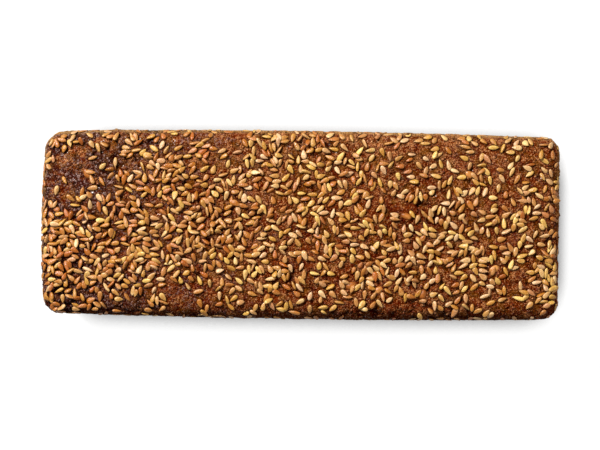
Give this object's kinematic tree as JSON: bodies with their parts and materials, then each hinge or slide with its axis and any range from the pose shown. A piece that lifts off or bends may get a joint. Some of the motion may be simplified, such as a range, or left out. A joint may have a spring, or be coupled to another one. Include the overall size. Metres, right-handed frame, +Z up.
{
  "type": "rectangular seeded loaf",
  "caption": "Long rectangular tin loaf of dark bread, resting on a flat base, with small rounded corners and a crust covered in golden seeds.",
  "frame": {"origin": "middle of the flat base that the loaf rests on", "axes": "+X along the loaf's length, +Y across its width, +Z up out of its seeded top"},
  "size_m": [0.261, 0.095, 0.066],
  "materials": {
    "crust": "dark brown baked crust, moist and satin, pitted and finely wrinkled",
    "seeds": "golden flax seeds, satin, some of them toasted darker",
    "kernels": "larger brown kernels half buried in the crust, satin"
  },
  "bodies": {
    "root": {"seeded_loaf": "crust"}
  },
  "joints": []
}
